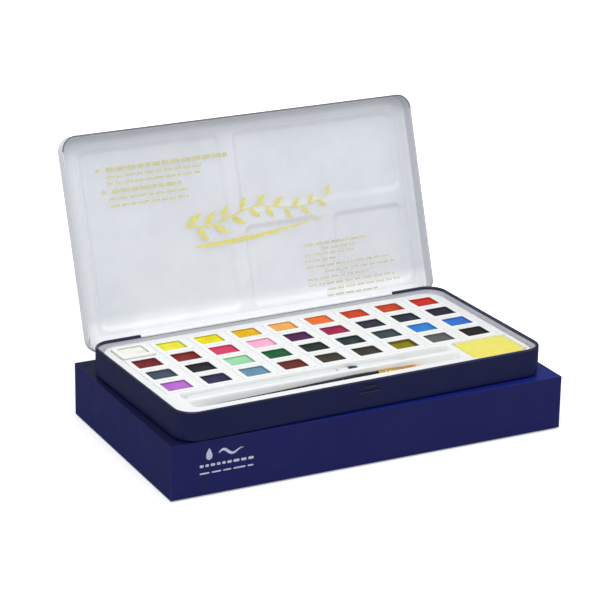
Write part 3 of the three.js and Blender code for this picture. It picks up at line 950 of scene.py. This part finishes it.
def tray():
    low, high = span("tray")
    top = high.z
    features = tray_features(top)
    tight = [box for box, _, _, flank in features if flank == POCKET_FLANK]
    soft = [box for box, _, _, flank in features if flank > POCKET_FLANK]
    edge = 0.9

    def lines(first, last, fine_edges, soft_edges, soft_fine):
        first, last = first + edge, last - edge
        fine = grid_lines(first, last, 3, {round(at, 2) for at in fine_edges}, 0.42, 0.14)
        soft = grid_lines(first, last, 400, soft_edges, 1.6, soft_fine)
        return np.unique(np.concatenate([fine, soft]).round(3))

    soft_x = [at for left, right, *_ in soft for at in (left, left + 3, right, right - 3)]
    xs = lines(low.x, high.x, [x for box in tight for x in box[:2]], soft_x, 0.5)
    soft_y = [y for box in soft for y in box[2:]]
    ys = lines(low.y, high.y, [y for box in tight for y in box[2:]], soft_y, 0.3)

    def pressed(x, y):
        level = np.full(len(x), top)
        for box, corner, depth, flank in features:
            level = level - depth * ease(within(x, y, box, corner) / flank)
        return level

    inner = edge - TRAY_SKIN
    rim = quarter(edge, top) + [(edge, top - 3), (edge, low.z + 0.2), (edge - 0.1, low.z)]
    rim += [(edge - 0.5, low.z), (inner, low.z + 0.2), (inner, top - 3)]
    rim += quarter(inner, top - TRAY_SKIN, 3)[::-1]
    points, faces, _ = sheet(xs, ys, TRAY_CORNER - edge, pressed, rim, TRAY_SKIN, firm=TRAY_FIRM)
    build("tray", Shape(points, faces, white_plastic), sharp=60)


# ---------------- half pans

# A tub's outline, as (inset, corner, height): its foot, from the underside, and the rest,
# which runs up, over the rim and down again inside, from the rim.
TUB_FOOT = [(1.0, 0.8, 0), (0.75, 1.0, 0.1), (0.6, 1.1, 0.5)]
TUB_WALLS = [(0.32, 1.1, -1.35), (0.04, 1.1, -1.1), (0.0, 1.1, -0.3), (0.05, 1.05, -0.1), (0.2, 1.0, 0)]
TUB_WALLS += [(1.7, 0.7, 0), (1.88, 0.6, -0.06), (1.98, 0.5, -0.25), (2.2, 0.5, -8.3), (2.5, 0.4, -8.5)]
TUB_WALL = 2.0
TUB_ENDS = 0.6  # the walls at a tub's ends are thicker by this much
PAINT_DOWN = 1.3
PAINT_USED = {33: 0.8}  # pans from which some paint is gone, and how far it has sunk
PAINT_FLOOR = 1.6


def tub(size):
    rings = []
    outline = TUB_FOOT + [(inset, corner, size.z + height) for inset, corner, height in TUB_WALLS]
    for inset, corner, height in outline:
        ends = inset + TUB_ENDS if inset > 1.5 else inset
        rings.append(box_ring(size.x / 2 - ends, size.y / 2 - inset, corner, height))
    return Shape(*loft(rings), pan_plastic)


def cake(size, seed, paint):
    """Dried paint, level in the middle and creeping up the tub's walls."""
    gap = TUB_WALL + 0.03
    half_x, half_y = size.x / 2 - gap - TUB_ENDS, size.y / 2 - gap
    used = PAINT_USED.get(seed, 0.0)
    top = size.z - PAINT_DOWN - used
    xs = grid_lines(-half_x, half_x, 0.75, [-half_x, half_x], 1.4, 0.23)
    ys = grid_lines(-half_y, half_y, 0.75, [-half_y, half_y], 1.4, 0.23)
    chance = random.Random(seed)
    tilt_x, tilt_y = chance.uniform(-0.006, 0.006), chance.uniform(-0.008, 0.008)

    def surface(x, y):
        wall = np.minimum(half_x - np.abs(x), half_y - np.abs(y))
        creep = (0.8 + used) * np.exp(-wall / 0.32) + 0.1 * np.exp(-wall / 1.4)
        rough = [noise.fractal(Vector((a * 0.32, b * 0.32, seed * 3.7)), 1.0, 2.0, 4) for a, b in zip(x, y)]
        return top + creep + tilt_x * x + tilt_y * y + 0.06 * np.array(rough)

    rim = [(0.02, top - 0.6), (-0.2, PAINT_FLOOR)]
    points, faces, _ = sheet(xs, ys, 0.5, surface, rim, floor=PAINT_FLOOR)
    return Shape(points, faces, paint)


def half_pans():
    size, _ = standing(PANS[0])
    tub_mesh = to_mesh("pan_tub", tub(size), Matrix.Identity(4), 35)
    for index, node in enumerate(PANS):
        _, place = standing(node)
        piece = hang("tub_" + node[4:], tub_mesh, node)
        piece.matrix_world = place
        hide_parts(node)
        name = "cake_" + node[4:]
        hang(name, to_mesh(name, cake(size, index, dried_paint(node)), place), node)


# ---------------- brushes


class Round:
    """A round CAD node that lies along the tin."""

    def __init__(self, node):
        low, high = span(node)
        self.y, self.z = (low.y + high.y) / 2, (low.z + high.z) / 2
        self.left, self.right, self.radius = low.x, high.x, (high.z - low.z) / 2

    def profile(self, from_left, from_right=()):
        """A profile from (distance from an end, share of the radius); a share of 0 closes it."""
        ends = [(self.left + at, share) for at, share in from_left]
        ends += [(self.right - at, share) for at, share in from_right]
        return [(at, self.radius * share or 0.1) for at, share in ends]

    def turned(self, profile, segments=48):
        return turned(profile, self.y, self.z, segments)


def strands(chance, count, tuft, root, belly, thick, hair):
    """Fine hairs from a round root through a belly to a common point."""
    shape = Shape()
    root_r, belly_r = tuft.radius * root, tuft.radius * belly
    for _ in range(count):
        angle, share = chance.uniform(0, tau), sqrt(chance.random())
        reach = chance.uniform(0.86, 1.0) - 0.12 * share
        drift = chance.uniform(-0.12, 0.12)
        sections = []
        for t in np.linspace(0, 1, 9):
            swollen = sin(pi * min(t / 0.62, 1)) ** 2
            radius = share * ((root_r + (belly_r - root_r) * swollen) * (1 - t**2.2))
            a = angle + drift * t
            x = tuft.left + (tuft.right - tuft.left) * reach * t
            centre = Vector((x, tuft.y + radius * cos(a), tuft.z + radius * sin(a)))
            width = thick * (1 - 0.8 * t**2)
            corners = [Vector((0, cos(b), sin(b))) * width for b in (0.3, 2.4, 4.5)]
            sections.append(np.array([centre + corner for corner in corners]))
        shape.add(*loft(sections), hair)
    return shape


# The brush handle, thin at its tail and fullest near the ferrule: (share of length, of radius).
HANDLE = [(0, 0.05), (0, 0.2), (0.01, 0.3), (0.25, 0.42), (0.5, 0.58), (0.72, 0.76), (0.86, 0.86)]
HANDLE += [(0.92, 0.86), (0.97, 0.82), (1, 0.8)]


def paint_brush():
    handle = Round("brush_handle")
    length = handle.right - handle.left
    profile = handle.profile([(share * length, size) for share, size in HANDLE])
    build("brush_handle", Shape(*handle.turned(soften(profile, 3), 40), lacquer()))

    ferrule = Round("brush_ferrule")
    crimped = [(0, 0.9), (0, 1), (2.2, 1)]
    for at in (3.4, 5.8):
        crimped += [(at - 0.7, 1), (at - 0.3, 0.9), (at + 0.3, 0.9), (at + 0.7, 1)]
    profile = ferrule.profile([*crimped, (8, 0.98)], [(0.2, 0.86), (0, 0.82)])
    build("brush_ferrule", Shape(*ferrule.turned(soften(profile)), brass))

    hair = Round("brush_hair")
    low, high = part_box("brush_hair")
    tint = tinted_hair("golden_hair", linear(228, 176, 92), linear(250, 240, 212), low.x + 0.004, high.x)
    shape = strands(random.Random(31), 420, hair, 0.84, 0.96, 0.13, tint)
    core = [(hair.left, 0.2), *hair.profile([(0, 0.78), (7, 0.8), (14, 0.5)]), (hair.right - 3, 0.05)]
    shape.add(*hair.turned(soften(core), 24), tint)
    build("brush_hair", shape)


def water_brush():
    milky, rubber = frosted_plastic(), soft_rubber()
    barrel = Round("water_brush_barrel")
    grip = [(0, 0), (0, 0.7), (1, 0.92), (4, 1), (50, 1), (52, 0.94), (70, 0.94), (72, 1)]
    profile = barrel.profile(grip, [(2, 1), (0, 0.88), (0, 0)])
    build("water_brush_barrel", Shape(*barrel.turned(soften(profile)), milky))

    collar = Round("water_brush_collar")
    body = [(0, 0), (0, 0.89), (6.2, 0.89), (6.2, 0)]
    ring = [(6.3, 0), (6.3, 0.86), (7.8, 0.88), (8, 0.94), (9.9, 0.94), (10.1, 0.88), (11.4, 0.86), (11.4, 0)]
    shape = Shape(*collar.turned(collar.profile(body)), milky)
    shape.add(*collar.turned(collar.profile([(11.5, 0), (11.5, 0.54)], [(0, 0.45), (0, 0)])), milky)
    shape.add(*collar.turned(collar.profile(ring)), rubber)
    build("water_brush_collar", shape)

    bristles = Round("water_brush_bristles")
    low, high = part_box("water_brush_bristles")
    tint = tinted_hair("white_bristles", linear(240, 236, 220), linear(252, 250, 242), low.x, high.x)
    shape = strands(random.Random(57), 160, bristles, 0.8, 0.95, 0.1, tint)
    core = [*bristles.profile([(0, 0), (0, 0.75), (5, 0.7)]), (bristles.right - 2, 0.05)]
    shape.add(*bristles.turned(core, 16), tint)
    build("water_brush_bristles", shape)

    cap = Round("water_brush_cap")
    outside = soften(cap.profile([(0, 0.84), (0, 1), (22, 0.86), (25, 0.75)], [(0, 0.6)]))
    inside = cap.profile([], [(0, 0), (0.8, 0), (0.8, 0.5)]) + cap.profile([(21.6, 0.68), (0, 0.82)])
    build("water_brush_cap", Shape(*cap.turned([*outside, *inside]), milky))


# ---------------- sponge

SPONGE_SWELL = 0.35  # no point moves farther than this as the foam swells
SPONGE_PRESSURE = 4
SPONGE_GRID = 0.9


def swell(piece, pressure, most, steps=20):
    """Blows a closed piece up like cloth, moving no point farther than most, in millimetres."""
    rest = np.array([v.co for v in piece.data.vertices])
    cloth = piece.modifiers.new("swell", "CLOTH")
    cloth.settings.use_pressure = True
    cloth.settings.uniform_pressure_force = pressure
    cloth.settings.effector_weights.gravity = 0
    for step in range(1, steps + 1):
        bpy.context.scene.frame_set(step)
    solved = piece.evaluated_get(bpy.context.evaluated_depsgraph_get())
    moved = np.array([v.co for v in solved.data.vertices]) - rest
    piece.modifiers.remove(cloth)
    length = np.linalg.norm(moved, axis=1)[:, None]
    moved *= np.minimum(1, most * MM / np.maximum(length, 1e-9))
    piece.data.vertices.foreach_set("co", (rest + moved).astype(np.float32).ravel())
    piece.data.update()


def apply_modifiers(piece):
    solved = piece.evaluated_get(bpy.context.evaluated_depsgraph_get())
    piece.data = bpy.data.meshes.new_from_object(solved)
    piece.modifiers.clear()


def sponge():
    """Foam cut with round corners: swelled as cloth, then pitted with small pores."""
    size, place = standing("sponge")
    rings = []
    for inset, height in [(1.0, 0.3), (0.5, 0.7), (0.4, 1.6), (0.4, -1.2), (0.5, -0.7), (0.9, -0.4)]:
        above = height if height > 0 else size.z + height
        rings.append(box_ring(size.x / 2 - inset, size.y / 2 - inset, 3.4, above, 7))
    piece = build("sponge", Shape(*loft(rings), cellulose_sponge()), place)
    remesh = piece.modifiers.new("even", "REMESH")
    remesh.mode = "VOXEL"
    remesh.voxel_size = SPONGE_GRID * MM
    apply_modifiers(piece)
    swell(piece, SPONGE_PRESSURE, SPONGE_SWELL)
    finer = piece.modifiers.new("finer", "SUBSURF")
    finer.levels = finer.render_levels = 1
    apply_modifiers(piece)
    normals = np.array([v.normal for v in piece.data.vertices])
    points = np.array([v.co for v in piece.data.vertices])
    depth = [pore(Vector(point) / MM) for point in points]
    points -= normals * np.array(depth)[:, None] * MM
    piece.data.vertices.foreach_set("co", points.astype(np.float32).ravel())
    piece.data.shade_smooth()


def pore(point):
    """How deep the foam is pitted at a point, in millimetres."""
    nearest = noise.voronoi(point * 0.95)[0][0]
    return 0.1 * max(0.0, 1 - nearest / 0.42) ** 0.8 + 0.05 * noise.noise(point * 0.3)


# ---------------- stage


DOME = 0.74  # light of the white surroundings
DOME_MIRRORED = 0.22


def floor():
    bpy.ops.mesh.primitive_plane_add(size=12, location=(0, 0, cad_box[0].z - 0.0002))
    piece = bpy.context.object
    piece.name = "floor"
    piece.data.materials.append(pale_floor())


def towards(azimuth, elevation):
    """The direction from the object to a place round it; azimuth 0 is in front, in degrees."""
    a, e = radians(azimuth), radians(elevation)
    return Vector((sin(a) * cos(e), -cos(a) * cos(e), sin(e)))


# Square area lights that look at the object: azimuth, elevation, distance, size, power.
SOFTBOXES = {
    "key": (-35, 52, 1.6, 1.1, 8.5),
    "fill": (55, 30, 1.8, 1.2, 5.2),
    "side": (-95, 16, 1.6, 1.0, 2.2),
    "overhead": (0, 88, 1.5, 1.2, 4),
}


def softboxes():
    for name, (azimuth, elevation, distance, size, power) in SOFTBOXES.items():
        data = bpy.data.lights.new(name, "AREA")
        data.size = size
        data.energy = power
        lamp = linked(name, data)
        back = towards(azimuth, elevation)
        lamp.location = (cad_box[0] + cad_box[1]) / 2 + back * distance
        lamp.rotation_euler = (-back).to_track_quat("-Z", "Y").to_euler()


def surroundings():
    """A white studio: a soft dome that is plain white to the eye and dim in reflections."""
    world = bpy.data.worlds.new("studio")
    bpy.context.scene.world = world
    world.use_nodes = True
    tree = world.node_tree
    path = tree.nodes.new("ShaderNodeLightPath")
    seen = tree.nodes["Background"]
    seen.inputs["Color"].default_value = (0.95, 0.975, 1, 1)
    seen.inputs["Strength"].default_value = DOME
    for ray, level in (("Is Glossy Ray", DOME_MIRRORED), ("Is Camera Ray", 1)):
        other = tree.nodes.new("ShaderNodeBackground")
        other.inputs["Color"].default_value = (level, level, level, 1)
        mixed = tree.nodes.new("ShaderNodeMixShader")
        tree.links.new(path.outputs[ray], mixed.inputs[0])
        tree.links.new(seen.outputs[0], mixed.inputs[1])
        tree.links.new(other.outputs[0], mixed.inputs[2])
        seen = mixed
    tree.links.new(seen.outputs[0], tree.nodes["World Output"].inputs[0])
    bpy.context.scene.view_settings.view_transform = "Standard"


AIM = Vector((-9.6, 2.9, 69.3)) * MM
CAMERA_AZIMUTH = -27.23
CAMERA_ELEVATION = 19.68
CAMERA_ROLL = 0.94
CAMERA_DISTANCE = 1.2629
CAMERA_LENS = 144.6


def camera():
    data = bpy.data.cameras.new("camera")
    data.lens = CAMERA_LENS
    data.clip_start = 0.05
    piece = linked("camera", data)
    back = towards(CAMERA_AZIMUTH, CAMERA_ELEVATION)
    piece.location = AIM + back * CAMERA_DISTANCE
    piece.rotation_mode = "QUATERNION"
    roll = Quaternion((0, 0, 1), radians(CAMERA_ROLL))
    piece.rotation_quaternion = (-back).to_track_quat("-Z", "Y") @ roll
    bpy.context.scene.camera = piece


carton()
carton_print()
tin_base()
hinge_wire()
tin_lid()
film_print(film())
tray()
half_pans()
paint_brush()
water_brush()
sponge()
floor()
softboxes()
surroundings()
camera()
